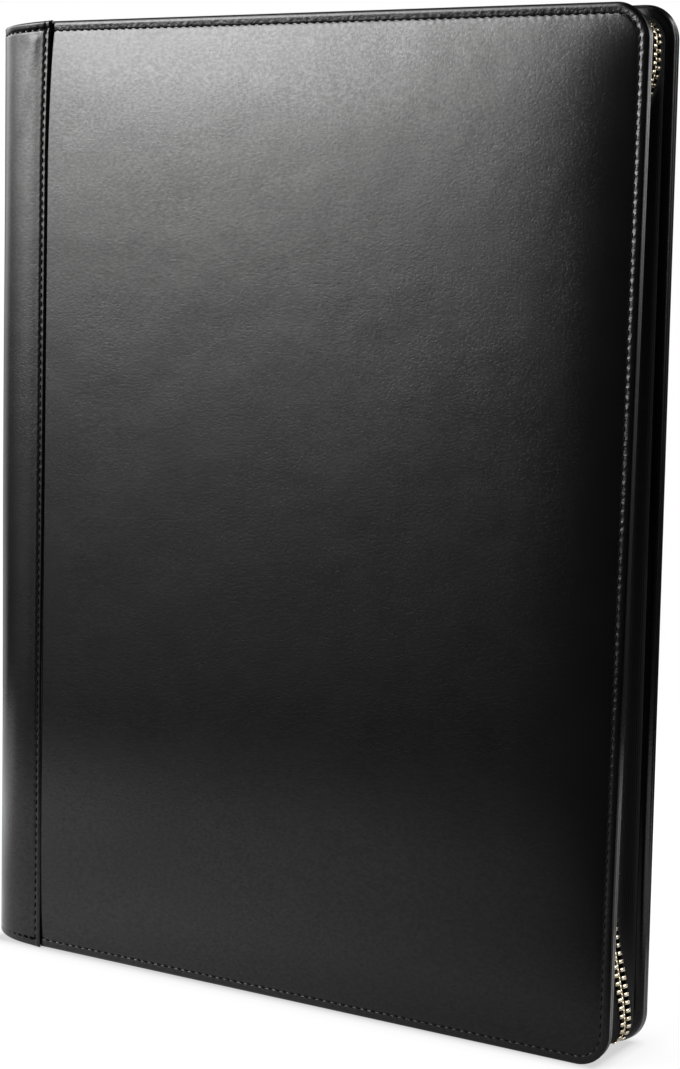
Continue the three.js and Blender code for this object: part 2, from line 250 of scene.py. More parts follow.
SIDE_GLOW = (
    # degrees as above, share of the brightness that low light from the left adds at every height
    (-180, 0),
    (-132, 0),
    (-116, 0.045),
    (-100, 0.03),
    (-86, 0),
    (180, 0),
)
TENT_CLOTH = {"scale": 26, "darkest": 0.45, "brightest": 1.55}
FLOOR_RADIUS = 0.6
FLOOR_GAP = 0.05 * MM
# Pools of light painted into the floor's albedo, which only the object sees in its reflections
FLOOR_PAINTED_LIGHT_POOLS = (
    # middle, full within, nothing beyond, albedo of the painted pool of light
    ((-0.2, -0.09, 0), 0.06, 0.38, 0.85),
    ((-0.5, 0.02, 0), 0.16, 0.3, 0.9),
    ((0.06, 0.3, 0), 0.17, 0.27, 1.0),
    ((0.5, 0.02, 0), 0.2, 0.3, 1.0),
)
FLOOR_LIGHTS = (
    # middle, full within, nothing beyond, strength of the light that the object alone catches
    ((0.135, 0.08, 0), 0.045, 0.085, 0.6),
    ((-0.36, -0.12, 0), 0.1, 0.22, 0.18),
)
FLOOR_BOUNCE = (
    # millimetres from the footprint, strength of the light that the object alone catches
    (0, 0.24),
    (45, 0.24),
    (90, 0.1),
    (140, 0),
)
# The floor's albedo outside the painted pools of light, kept dark for the object as painted shade
FLOOR_ALBEDO = 0.02
FLOOR_SEEN_ALBEDO = 0.12
FOOTPRINT = (0.128, 0.0155, 0)
# The floor's emission seen by the camera, dimmed round the object's footprint as a painted contact shadow
FLOOR_GLOW_AND_PAINTED_SHADOW = (
    # millimetres from the footprint, how white the floor looks to the camera, less white near the footprint
    # as a painted contact shadow
    (0, 0.6),
    (2.5, 0.78),
    (6, 0.9),
    (14, 0.947),
    (30, 0.96),
    (80, 0.975),
    (160, 1.0),
)


def smooth_step(value, low, high):
    share = np.clip((value - low) / (high - low), 0, 1)
    return share * share * (3 - 2 * share)


def mix(first, second, share):
    return first + (second - first) * share


def bell(value, middle, reach):
    """One at the middle, falling smoothly to nothing at reach to either side."""
    away = np.clip(np.abs(value - middle) / reach, 0, 1)
    return np.cos(away * math.pi / 2) ** 2


def seam_x(z):
    """Place of the spine panel's folded edge: it leans back at the bottom and flares at the top."""
    up = z / HEIGHT
    flare = np.clip((up - SEAM_FLARE["from"]) / (1 - SEAM_FLARE["from"]), 0, 1) ** 1.5
    return SEAM_X - SEAM_DRIFT * (1 - up) + SEAM_FLARE["shift"] * flare


def cover_half(x, z):
    """From the mid plane to a cover's nominal outer face."""
    at_fore = mix(HALF_AT_FORE_BOTTOM, HALF_AT_FORE_TOP, z / HEIGHT)
    return mix(HALF_AT_SPINE, at_fore, (x - SPINE_X) / WIDTH)


# Handling of meshes
def deselect_all():
    bpy.ops.object.select_all(action="DESELECT")


def points_of(piece):
    points = np.empty(len(piece.data.vertices) * 3, np.float32)
    piece.data.vertices.foreach_get("co", points)
    return points.reshape(-1, 3).astype(float)


def move_points(piece, points):
    piece.data.vertices.foreach_set("co", points.astype(np.float32).ravel())
    piece.data.update()


def select_edges(piece, wanted):
    """In edit mode, selects the edges whose two ends satisfy wanted."""
    bpy.ops.mesh.select_mode(type="EDGE")
    bpy.ops.mesh.select_all(action="DESELECT")
    shape = bmesh.from_edit_mesh(piece.data)
    for edge in shape.edges:
        if wanted(edge.verts[0].co, edge.verts[1].co):
            edge.select_set(True)
    bmesh.update_edit_mesh(piece.data)


def select_faces(piece, wanted):
    """In edit mode, selects the faces that satisfy wanted."""
    bpy.ops.mesh.select_mode(type="FACE")
    bpy.ops.mesh.select_all(action="DESELECT")
    shape = bmesh.from_edit_mesh(piece.data)
    for face in shape.faces:
        if wanted(face):
            face.select_set(True)
    bmesh.update_edit_mesh(piece.data)


def apply_modifier(piece, kind, **settings):
    bpy.context.view_layer.objects.active = piece
    modifier = piece.modifiers.new(kind.title(), kind)
    for name, value in settings.items():
        setattr(modifier, name, value)
    bpy.ops.object.modifier_apply(modifier=modifier.name)


def array_along(piece, count, pitch):
    apply_modifier(
        piece, "ARRAY", count=count, use_relative_offset=False,
        use_constant_offset=True, constant_offset_displace=(pitch, 0, 0),
    )


def mark_puckers(piece, shares):
    """Stores how strongly the leather is puckered at each point, for its material."""
    layer = piece.data.attributes.new("puckered", "FLOAT", "POINT")
    layer.data.foreach_set("value", shares.astype(np.float32))


def add_block(name, size, place):
    deselect_all()
    bpy.ops.mesh.primitive_cube_add(size=1, location=place)
    block = bpy.context.object
    block.name = name
    block.scale = size
    bpy.ops.object.transform_apply(location=True, rotation=True, scale=True)
    return block


def shade_smooth(piece, angle=None):
    deselect_all()
    piece.select_set(True)
    bpy.context.view_layer.objects.active = piece
    if angle is None:
        bpy.ops.object.shade_smooth()
    else:
        bpy.ops.object.shade_smooth_by_angle(angle=angle)


def join_pieces(pieces, name):
    deselect_all()
    for piece in pieces:
        piece.select_set(True)
    bpy.context.view_layer.objects.active = pieces[0]
    bpy.ops.object.join()
    whole = bpy.context.object
    whole.name = name
    return whole


def copy_of(piece, name):
    twin = piece.copy()
    twin.data = piece.data.copy()
    twin.name = name
    bpy.context.scene.collection.objects.link(twin)
    return twin


# A cover's stitch line: from the seam along the bottom, up the fore edge and back along the top
CORNER_X = FORE_X - CORNER_RADIUS
STITCH_RUN = CORNER_X - SEAM_X
STITCH_RADIUS = CORNER_RADIUS - STITCH_INSET
STITCH_TURN = STITCH_RADIUS * math.pi / 2
FORE_RUN = HEIGHT - 2 * CORNER_RADIUS
LOW_TURN_END = STITCH_RUN + STITCH_TURN
HIGH_TURN_START = LOW_TURN_END + FORE_RUN
STITCH_LINE = 2 * STITCH_RUN + 2 * STITCH_TURN + FORE_RUN
COVER_STITCHES = round(STITCH_LINE / STITCH_PITCH)
COVER_PITCH = STITCH_LINE / COVER_STITCHES


def cover_places(x, y):
    """For points of a flat cover: how far in from the free edges, and how far along the stitch line."""
    from_edges = np.stack((y, FORE_X - x, HEIGHT - y))
    along_edges = np.stack((
        x - SEAM_X,
        LOW_TURN_END + y - CORNER_RADIUS,
        HIGH_TURN_START + STITCH_TURN + CORNER_X - x,
    ))
    nearest = np.argmin(from_edges, axis=0)
    inset = np.take_along_axis(from_edges, nearest[None], 0)[0]
    along = np.take_along_axis(along_edges, nearest[None], 0)[0]
    right = x - CORNER_X
    below = CORNER_RADIUS - y
    above = y - HEIGHT + CORNER_RADIUS
    corners = (
        # how far out past the corner's middle, where its turn starts, how far it has turned
        (below, STITCH_RUN, np.arctan2(right, below)),
        (above, HIGH_TURN_START, np.arctan2(above, right)),
    )
    for outwards, start, turned in corners:
        in_corner = (right > 0) & (outwards > 0)
        inset = np.where(in_corner, CORNER_RADIUS - np.hypot(right, outwards), inset)
        along = np.where(in_corner, start + STITCH_RADIUS * turned, along)
    return inset, along


def cover_line_point(along):
    """A point of the flat stitch line and the direction in from it, for places along it."""
    low_turn = (along - STITCH_RUN) / STITCH_RADIUS
    high_turn = (along - HIGH_TURN_START) / STITCH_RADIUS
    ends = (STITCH_RUN, LOW_TURN_END, HIGH_TURN_START, HIGH_TURN_START + STITCH_TURN)
    spans = [along < end for end in ends]
    x = np.select(spans, [
        SEAM_X + along,
        CORNER_X + STITCH_RADIUS * np.sin(low_turn),
        np.full_like(along, CORNER_X + STITCH_RADIUS),
        CORNER_X + STITCH_RADIUS * np.cos(high_turn),
    ], CORNER_X - (along - HIGH_TURN_START - STITCH_TURN))
    y = np.select(spans, [
        np.full_like(along, STITCH_INSET),
        CORNER_RADIUS - STITCH_RADIUS * np.cos(low_turn),
        CORNER_RADIUS + along - LOW_TURN_END,
        HEIGHT - CORNER_RADIUS + STITCH_RADIUS * np.sin(high_turn),
    ], HEIGHT - STITCH_INSET)
    in_x = np.select(spans, [0 * along, -np.sin(low_turn), -np.ones_like(along), -np.cos(high_turn)], 0)
    in_y = np.select(spans, [
        np.ones_like(along), np.cos(low_turn), 0 * along, -np.sin(high_turn),
    ], -1)
    return x, y, in_x, in_y


def uneven(along):
    """A slow change of strength along a line, so that no two stitches pull alike."""
    slow = np.sin(along / (7.3 * MM) + 1.3)
    quick = np.sin(along / (3.1 * MM) + 0.4)
    return 1 + 0.35 * slow + 0.3 * quick


def sewn_pull(inset, along, line_inset, pitch):
    """How the thread pulls leather beside a stitch line: holes on the line and slanting folds off it."""
    off = (inset - line_inset) / MM
    phase = along / pitch + 0.18 * off
    hole = ((1 + np.cos(2 * math.pi * phase)) / 2) ** 2 * np.exp(-((off / 0.4) ** 2))
    folds = np.cos(2 * math.pi * phase) * np.exp(-(((np.abs(off) - 0.7) / 0.6) ** 2))
    wrinkles = np.sin(along / (0.41 * MM) + 2.4 * off + 2 * np.sin(along / (1.9 * MM)))
    wrinkles *= np.exp(-(((off + 0.9) / 0.6) ** 2))
    depth = HOLE_DEPTH * hole + np.where(off < 0, RIM_FOLDS, PANEL_FOLDS) * folds + WRINKLES * wrinkles
    return -depth * uneven(along)


def panel_height(x, y, inset):
    """Height of the padded panel inside the stitched groove, crowned from all four sides."""
    def rising(away, reach):
        return 1 - np.exp(-np.clip(away, 0, None) / reach)

    crown = PANEL_CROWN * rising(FORE_X - STITCH_INSET - x, PANEL_REACH["fore"])
    crown *= rising(y - STITCH_INSET, PANEL_REACH["ends"])
    crown *= rising(HEIGHT - STITCH_INSET - y, PANEL_REACH["ends"])
    crown *= rising(x - seam_x(y) + PANEL_TUCK, PANEL_REACH["seam"])
    foot = PANEL_FOOT["rise"] * rising(inset - STITCH_INSET, PANEL_FOOT["reach"])
    return crown + foot - GROOVE_DEPTH


def scale_ring(before, after):
    """Draws the selected ring of a flat cover in or out about its middle."""
    half_width = (FORE_X - COVER_START_X) / 2
    half_height = HEIGHT / 2
    across = (half_width - after) / (half_width - before)
    up = (half_height - after) / (half_height - before)
    middle = (FORE_X - half_width, half_height, 0)
    bpy.ops.transform.resize(value=(across, up, 1), center_override=middle)


def raise_face(rise):
    bpy.ops.mesh.extrude_region_move(TRANSFORM_OT_translate={"value": (0, 0, rise)})


def cut_sides(board):
    """In edit mode, divides the sides of a flat cover, so that the rings raised from them can bend."""
    half_run = (COVER_START_X + CORNER_X) / 2
    sides = (
        # whether a point is on the side, where the close cuts start, how often they divide it
        (lambda point: point.y < TINY, FIRST_COLUMN_X, CUTS_SHORT),
        (lambda point: point.y > HEIGHT - TINY, FIRST_COLUMN_X, CUTS_SHORT),
        (lambda point: point.x > FORE_X - TINY, FORE_X, CUTS_LONG),
        (lambda point: point.x < COVER_START_X + TINY, COVER_START_X, CUTS_HINGE),
    )
    for on_side, first_x, cuts in sides:
        def level(a, b):
            return on_side(a) and on_side(b) and abs(a.z - b.z) < TINY

        def halfway(a, b):
            return on_side(a) and max(abs(a.x - half_run), abs(b.x - half_run)) < TINY

        def past_first(a, b):
            return level(a, b) and min(a.x, b.x) > first_x - TINY

        if cuts == CUTS_SHORT:
            select_edges(board, level)
            bpy.ops.mesh.subdivide(number_cuts=1)
            select_edges(board, halfway)
            bpy.ops.transform.translate(value=(FIRST_COLUMN_X - half_run, 0, 0))
        for number in cuts:
            select_edges(board, past_first)
            bpy.ops.mesh.subdivide(number_cuts=number)


def raise_wall():
    """In edit mode, raises the selected top of a flat cover through its edge wall and the wall's crease."""
    crease_low = EDGE_CREASE["height"] - EDGE_CREASE["half_width"]
    crease_high = EDGE_CREASE["height"] + EDGE_CREASE["half_width"]
    wall_rows = (
        # height, how far in from the edge
        (crease_low - WALL_TURN, 0),
        (crease_low, 0),
        (EDGE_CREASE["height"], EDGE_CREASE["depth"]),
        (crease_high, 0),
        (crease_high + WALL_TURN, 0),
        (EDGE_WALL[1] - WALL_TURN, 0),
        (EDGE_WALL[1], 0),
    )
    height_now = EDGE_WALL[0] + WALL_TURN
    drawn_now = 0
    for height, drawn_in in wall_rows:
        raise_face(height - height_now)
        scale_ring(drawn_now, drawn_in)
        height_now = height
        drawn_now = drawn_in


def draw_rings():
    """In edit mode, draws the selected top of a flat cover in, ring by ring, from the rim to the panel."""
    inset_now = 0
    height_now = EDGE_WALL[1]
    for inset, height, _ in RIM_SECTION[1:]:
        bpy.ops.mesh.inset(thickness=inset * MM - inset_now, depth=height * MM - height_now)
        inset_now = inset * MM
        height_now = height * MM
    for inset in EVEN_INSETS:
        bpy.ops.mesh.inset(thickness=inset * MM - inset_now)
        inset_now = inset * MM
    for inset in SCALED_INSETS:
        raise_face(0)
        scale_ring(inset_now, inset * MM)
        inset_now = inset * MM


def shape_cover(board):
    """Gives a flat cover its crowned panel, its rim's section, the pull of the thread and its lean."""
    x, y, height = points_of(board).T
    inset, along = cover_places(x, y)
    from_hinge = x - COVER_START_X
    on_panel = (height > EDGE_WALL[1]) & (np.minimum(inset, from_hinge) > EVEN_INSETS[0] * MM - TINY)
    height = np.where(on_panel, panel_height(x, y, inset), height)
    outer = height > EDGE_WALL[1] - TINY
    _, _, in_x, in_y = cover_line_point(along)
    on_rim = outer & ~on_panel & (inset > TINY)
    rim_insets, _, fore_heights = np.array(RIM_SECTION).T * MM
    fore_height = np.interp(inset, rim_insets, fore_heights)
    height = np.where(on_rim, mix(height, fore_height, in_x ** 2), height)
    low_share = mix(1, LOW_GROOVE_SHARE, np.clip(in_y, 0, 1))
    height = np.where(on_rim & (inset > RIM_CREST), height * low_share, height)
    height = height + np.where(outer, sewn_pull(inset, along, STITCH_INSET, COVER_PITCH), 0)
    lean = np.clip(EDGE_WALL[1] - height, 0, EDGE_WALL[1] - EDGE_WALL[0]) * EDGE_LEAN
    move_points(board, np.column_stack((x + in_x * lean, y + in_y * lean, height)))
    mark_puckers(board, np.where(outer, bell(inset, PUCKERED["middle"], PUCKERED["reach"]), 0))


def flat_cover(name):
    """A padded cover lying flat: edge wall with its crease, rolled rim, stitched groove, crowned panel."""
    width = FORE_X - COVER_START_X
    board = add_block(
        name, (width, HEIGHT, WALL_TURN),
        (FORE_X - width / 2, HEIGHT / 2, EDGE_WALL[0] + WALL_TURN / 2),
    )
    bpy.ops.object.mode_set(mode="EDIT")
    select_edges(board, lambda a, b: min(a.x, b.x) > FORE_X - TINY and abs(a.z - b.z) > TINY)
    bpy.ops.mesh.bevel(offset=CORNER_RADIUS, segments=CORNER_STEPS, affect="EDGES")
    cut_sides(board)
    select_faces(board, lambda face: face.normal.z < -0.99)
    bpy.ops.mesh.inset(thickness=COVER_THICKNESS + EDGE_WALL[0], depth=COVER_THICKNESS + EDGE_WALL[0])
    select_faces(board, lambda face: face.normal.z > 0.99)
    raise_wall()
    draw_rings()
    bpy.ops.object.mode_set(mode="OBJECT")
    shape_cover(board)
    return board


def stand_front(points):
    """Stands flat points up as the front cover, whose top edge is sewn a little lower."""
    x, y, rise = points.T
    below = HEIGHT - y
    drop = TOP_DROP["stitches"] * (1 - smooth_step(below, STITCH_INSET, TOP_DROP["reach"]))
    drop -= (TOP_DROP["stitches"] - TOP_DROP["edge"]) * (1 - smooth_step(below, 0, STITCH_INSET))
    return np.column_stack((x, -(cover_half(x, y) + rise), y - drop))


def stand_rear(points):
    """Turns flat points over, top to bottom, and stands them up as the rear cover."""
    x, y, rise = points.T
    z = HEIGHT - y
    return np.column_stack((x, cover_half(x, z) + rise, z * (1 + REAR_TALLER / HEIGHT)))


# Spine panel: developed from one folded edge round the nose to the other
NOSE_X = SPINE_X + SPINE_NOSE
SPINE_LIFT = CLEARANCE + SPINE_WALL
SPINE_STRAIGHT = SEAM_X - NOSE_X
NOSE_ANGLES = np.linspace(0, math.pi, 721)
NOSE_HALF = cover_half(NOSE_X, HEIGHT / 2) + SPINE_LIFT
NOSE_LINE = np.column_stack((SPINE_NOSE * np.sin(NOSE_ANGLES), NOSE_HALF * np.cos(NOSE_ANGLES)))
NOSE_LENGTHS = np.concatenate(([0], np.cumsum(np.hypot(*np.diff(NOSE_LINE, axis=0).T))))
NOSE_LENGTH = NOSE_LENGTHS[-1]
SPINE_SPREAD = 2 * SPINE_STRAIGHT + NOSE_LENGTH


def wrap_spine(points):
    """Bends flat points of the spine panel round the back of the portfolio."""
    spread, z, rise = points.T
    from_front = SPINE_SPREAD - spread
    angle = np.interp(from_front - SPINE_STRAIGHT, NOSE_LENGTHS, NOSE_ANGLES)
    half = cover_half(NOSE_X, z) + SPINE_LIFT
    normal_x = -np.sin(angle) / SPINE_NOSE
    normal_y = -np.cos(angle) / half
    length = np.hypot(normal_x, normal_y)
    past_front = np.clip(SPINE_STRAIGHT - from_front, 0, None)
    past_rear = np.clip(from_front - SPINE_STRAIGHT - NOSE_LENGTH, 0, None)
    past = past_front + past_rear
    x = NOSE_X - SPINE_NOSE * np.sin(angle) + past
    side = np.where(from_front < SPINE_SPREAD / 2, FRONT, REAR)
    splay = cover_half(NOSE_X + past, z) - cover_half(NOSE_X, z)
    y = -half * np.cos(angle) + side * splay
    back = np.clip((SEAM_X - x) / NOSE_LIFT["reach_back"], 0, 1)
    x = x + (seam_x(z) - SEAM_X) * (x - SPINE_X) / (SEAM_X - SPINE_X)
    lift = NOSE_LIFT["height"] * back * (1 - smooth_step(z, 0, NOSE_LIFT["reach_up"]))
    lift -= NOSE_DROP["depth"] * back * (1 - smooth_step(HEIGHT - z, 0, NOSE_DROP["reach_down"]))
    return np.column_stack((x + normal_x / length * rise, y + normal_y / length * rise, z + lift))


SEAM_LINE = HEIGHT - 2 * SEAM_START
SEAM_STITCHES = round(SEAM_LINE / STITCH_PITCH)
SEAM_PITCH = SEAM_LINE / SEAM_STITCHES
HEM_LINE = SPINE_SPREAD - 2 * SEAM_STITCH
HEM_STITCHES = round(HEM_LINE / STITCH_PITCH)
HEM_PITCH = HEM_LINE / HEM_STITCHES

# Soft dents where the leather gives over the hollow nose, in millimetres
SPINE_DENTS = (
    # from the front fold, height, reach across, reach up, depth
    (11, 322, 6, 60, 0.12),
    (27, 290, 12, 90, 0.15),
    (22, 205, 16, 110, -0.12),
    (30, 95, 14, 90, 0.15),
    (17, 40, 9, 60, -0.1),
    (62, 290, 15, 90, 0.2),
    (80, 150, 16, 110, -0.2),
    (70, 60, 15, 70, 0.2),
)
DENTS_CLEAR = {"of_fold": (3 * MM, 9 * MM), "of_end": (3 * MM, 10 * MM)}
# A soft fold that runs down from the top hem beside the front seam, in millimetres
SPINE_FOLD = {
    "from_seam": (6.3, 12.5), "between": (346, 316), "fades": (300, 343),
    "half_width": 2.2, "height": 0.14,
}


def edge_relief(away, round_over, line_inset, groove):
    """Height of a turned leather edge: rounded over at its end and drawn down at its stitch line."""
    over = np.clip(1 - away / round_over, 0, 1)
    rounded = -round_over * (1 - np.sqrt(np.clip(1 - over * over, 0, 1)))
    drawn = -groove * np.exp(-(((away - line_inset) / GROOVE_WIDTH) ** 2))
    return rounded + drawn


def spine_relief(from_front, z):
    """Height of the spine panel's outer face over its nominal one."""
    from_fold = np.minimum(from_front, SPINE_SPREAD - from_front)
    from_end = np.minimum(z, HEIGHT - z)
    rise = edge_relief(from_fold, FOLD_ROUND, SEAM_STITCH, SEAM_GROOVE)
    rise -= FOLD_PARED["depth"] * (1 - smooth_step(from_fold, 0, FOLD_PARED["reach"]))
    upper = np.where(z > HEIGHT / 2, 1, LOW_HEM_SHARE)
    rise += edge_relief(from_end, HEM_ROUND, HEM_STITCH, SEAM_GROOVE * upper)
    lean = np.clip(np.minimum(from_end, HEM_STITCH) - HEM_ROUND, 0, None) * HEM_LEAN
    lean *= 1 - smooth_step(from_end, HEM_STITCH, HEM_STITCH + HEM_SETTLE)
    rise -= lean * upper
    rise += sewn_pull(from_fold, z - SEAM_START, SEAM_STITCH, SEAM_PITCH)
    rise += sewn_pull(from_end, from_front - SEAM_STITCH, HEM_STITCH, HEM_PITCH) * upper
    within = smooth_step(from_fold, *DENTS_CLEAR["of_fold"]) * smooth_step(from_end, *DENTS_CLEAR["of_end"])
    for across, up, reach_across, reach_up, depth in SPINE_DENTS:
        dent = bell(from_front / MM, across, reach_across) * bell(z / MM, up, reach_up)
        rise -= depth * MM * dent * within
    fold_top, fold_foot = SPINE_FOLD["between"]
    fade_foot, fade_top = SPINE_FOLD["fades"]
    up = z / MM
    middle = mix(*SPINE_FOLD["from_seam"], (fold_top - up) / (fold_top - fold_foot))
    fold = np.exp(-(((from_front / MM - middle) / SPINE_FOLD["half_width"]) ** 2))
    fold *= smooth_step(up, fade_foot, fold_foot) * (1 - smooth_step(up, fade_top, fold_top))
    return rise + SPINE_FOLD["height"] * MM * fold


def spine_panel():
    deselect_all()
    bpy.ops.mesh.primitive_grid_add(x_subdivisions=SPINE_COLUMNS, y_subdivisions=SPINE_ROWS, size=2)
    panel = bpy.context.object
    panel.name = "spine_leather"
    points = points_of(panel)
    across = np.sin(points[:, 0] * math.pi / 2)
    up = mix(points[:, 1], np.sin(points[:, 1] * math.pi / 2), SPINE_CLOSE_ROWS)
    points[:, 0] = SPINE_SPREAD / 2 * (1 + across)
    points[:, 1] = HEIGHT / 2 * (1 + up)
    move_points(panel, points)
    apply_modifier(panel, "SOLIDIFY", thickness=SPINE_WALL, offset=-1)
    points = points_of(panel)
    outer = points[:, 2] > -SPINE_WALL / 2
    from_front = SPINE_SPREAD - points[:, 0]
    from_fold = np.minimum(from_front, points[:, 0])
    from_end = np.minimum(points[:, 1], HEIGHT - points[:, 1])
    under = -edge_relief(np.minimum(from_fold, from_end), SPINE_UNDER_ROUND, SEAM_STITCH, 0)
    points[:, 2] += np.where(outer, spine_relief(from_front, points[:, 1]), under)
    move_points(panel, wrap_spine(points))
    shade_smooth(panel)
    return panel


# Stitching
def one_stitch():
    """One stitch along X: a thread that rises out of its hole, lies on the leather and dives again."""
    deselect_all()
    bpy.ops.mesh.primitive_cylinder_add(
        vertices=8, radius=THREAD_RADIUS, depth=STITCH_LENGTH, rotation=(0, math.pi / 2, 0),
    )
    stitch = bpy.context.object
    stitch.name = "stitch"
    bpy.ops.object.transform_apply(location=True, rotation=True, scale=True)
    bpy.ops.object.mode_set(mode="EDIT")
    select_edges(stitch, lambda a, b: abs(a.x - b.x) > STITCH_LENGTH / 2)
    bpy.ops.mesh.subdivide(number_cuts=5)
    rings = (
        # place along the stitch, thickness, sunk below the middle in thread radii
        (-1, 0.45, 1.9),
        (-2 / 3, 0.92, 0.55),
        (-1 / 3, 1.05, 0.1),
        (1 / 3, 1.05, 0.1),
        (2 / 3, 0.92, 0.55),
        (1, 0.45, 1.9),
    )
    for share, thickness, sunk in rings:
        at = share * STITCH_LENGTH / 2
        select_edges(stitch, lambda a, b: abs(a.x - at) < TINY and abs(b.x - at) < TINY)
        bpy.ops.transform.resize(value=(1, thickness, thickness), center_override=(at, 0, 0))
        bpy.ops.transform.translate(value=(0, 0, -sunk * THREAD_RADIUS))
    bpy.ops.mesh.select_all(action="SELECT")
    bpy.ops.transform.rotate(value=STITCH_SLANT, orient_axis="Z", center_override=(0, 0, 0))
    bpy.ops.object.mode_set(mode="OBJECT")
    shade_smooth(stitch)
    return stitch


def stitch_row(pattern, name, count, pitch):
    """A straight row of stitches along X, the first half a pitch from the start."""
    row = copy_of(pattern, name)
    points = points_of(row)
    points[:, 0] += pitch / 2
    move_points(row, points)
    array_along(row, count, pitch)
    return row


def cover_stitches(pattern, name, stand):
    row = stitch_row(pattern, name, COVER_STITCHES, COVER_PITCH)
    along, across, rise = points_of(row).T
    x, y, in_x, in_y = cover_line_point(along)
    on_leather = rise - GROOVE_DEPTH + THREAD_SEAT
    move_points(row, stand(np.column_stack((x + across * in_x, y + across * in_y, on_leather))))
    return row


def spine_stitches(pattern):
    """Both seams and both hems of the spine panel."""
    rows = []
    depth = SEAM_GROOVE - THREAD_SEAT
    pared = FOLD_PARED["depth"] * (1 - smooth_step(SEAM_STITCH, 0, FOLD_PARED["reach"]))
    for spread in (SEAM_STITCH, SPINE_SPREAD - SEAM_STITCH):
        row = stitch_row(pattern, "seam_row", SEAM_STITCHES, SEAM_PITCH)
        along, across, rise = points_of(row).T
        flat = np.column_stack((spread - across, along + SEAM_START, rise - depth - pared))
        move_points(row, wrap_spine(flat))
        rows.append(row)
    hems = (
        # height, share of the hem's full lean, how much deeper the thread lies
        (HEM_STITCH, LOW_HEM_SHARE, LOW_HEM_SUNK),
        (HEIGHT - HEM_STITCH, 1, 0),
    )
    for height, share, sunk in hems:
        row = stitch_row(pattern, "hem_row", HEM_STITCHES, HEM_PITCH)
        along, across, rise = points_of(row).T
        hem_depth = depth + sunk + (HEM_STITCH - HEM_ROUND) * HEM_LEAN * share
        flat = np.column_stack((along + SEAM_STITCH, height + across, rise - hem_depth))
        move_points(row, wrap_spine(flat))
        rows.append(row)
    return join_pieces(rows, "spine_stitches")


# Zip line: along the top, down the fore edge and back along the bottom
TOP_RUN = CORNER_X - TAPE_END_X
QUARTER_TURN = CORNER_RADIUS * math.pi / 2
EDGE_LENGTH = 2 * TOP_RUN + 2 * QUARTER_TURN + FORE_RUN
TOP_BULGE_AT = TOP_RUN + QUARTER_TURN / 2 + TOP_BULGE["past"]
LOW_BULGE_AT = TOP_RUN + QUARTER_TURN * 1.5 + FORE_RUN + LOW_BULGE["past"]
TWIST_AT = EDGE_LENGTH - TOP_RUN - QUARTER_TURN - (TWIST_HEIGHT - CORNER_RADIUS)


def zip_point(along, inset, y):
    """A point of the zip: its place along the covers' edge line, how far in from it, and Y."""
    top_turn_end = TOP_RUN + QUARTER_TURN
    low_turn_start = top_turn_end + FORE_RUN
    low_turn_end = low_turn_start + QUARTER_TURN
    spans = [along < TOP_RUN, along < top_turn_end, along < low_turn_start, along < low_turn_end]
    top_turn = (along - TOP_RUN) / CORNER_RADIUS
    low_turn = (along - low_turn_start) / CORNER_RADIUS
    zero = 0 * along
    x = np.select(spans, [
        TAPE_END_X + along,
        CORNER_X + CORNER_RADIUS * np.sin(top_turn),
        zero + FORE_X,
        CORNER_X + CORNER_RADIUS * np.cos(low_turn),
    ], CORNER_X - (along - low_turn_end))
    z = np.select(spans, [
        zero + HEIGHT,
        HEIGHT - CORNER_RADIUS * (1 - np.cos(top_turn)),
        HEIGHT - CORNER_RADIUS - (along - top_turn_end),
        CORNER_RADIUS * (1 - np.sin(low_turn)),
    ], 0)
    in_x = np.select(spans, [zero, -np.sin(top_turn), zero - 1, -np.cos(low_turn)], 0)
    in_z = np.select(spans, [zero - 1, -np.cos(top_turn), zero, np.sin(low_turn)], 1)
    return np.column_stack((x + in_x * inset, y, z + in_z * inset))


def chain_inset(along):
    """How far the chain's middle lies in from the covers' edges: little at its two bulges."""
    inset = CHAIN_INSET_BETWEEN
    for bulge, at in ((TOP_BULGE, TOP_BULGE_AT), (LOW_BULGE, LOW_BULGE_AT)):
        reach = np.where(along < at, bulge["before"], bulge["after"])
        sunk = smooth_step(np.abs(along - at), bulge["hold"], reach)
        inset = np.minimum(inset, mix(bulge["inset"], CHAIN_INSET_BETWEEN, sunk))
    return inset


def chain_frame(along, across, inward):
    """Inset and Y of a point in the chain's own cross section."""
    middle = chain_inset(along)
    twist = CHAIN_TWIST * bell(along, TWIST_AT, TWIST_REACH)
    inset = middle - across * np.sin(twist) + inward * np.cos(twist)
    return inset, across * np.cos(twist) + inward * np.sin(twist)


def one_tooth():
    """A tooth of the rear row: a foot clamped on the tape, and a head that reaches past the middle."""
    foot_start = 0.75 * MM
    foot_length = 1.25 * MM
    foot_thickness = 0.8 * MM
    foot_out = 0.55 * MM
    head_sunk = 0.5 * MM
    tooth = add_block(
        "tooth",
        (foot_length, CHAIN_HALF_WIDTH - foot_start, foot_thickness),
        (0, (CHAIN_HALF_WIDTH + foot_start) / 2, foot_out),
    )
    bpy.ops.object.mode_set(mode="EDIT")
    select_faces(tooth, lambda face: face.normal.y < -0.99)
    steps = (
        # move towards the other row, in millimetres, scale along the chain and through it, sink
        (0.06, 0.5, 0.7, 0),
        (0.3, 1.0, 1.0, head_sunk),
        (0.06, 2.1, 1.8, 0),
        (0.73, 1.0, 1.0, 0),
    )
    for move, along_scale, through_scale, sink in steps:
        bpy.ops.mesh.extrude_region_move(TRANSFORM_OT_translate={"value": (0, -move * MM, -sink)})
        bpy.ops.transform.resize(value=(along_scale, 1, through_scale))
    bpy.ops.object.mode_set(mode="OBJECT")
    apply_modifier(
        tooth, "BEVEL", width=0.09 * MM, segments=1, limit_method="ANGLE", angle_limit=math.radians(50),
    )
    return tooth


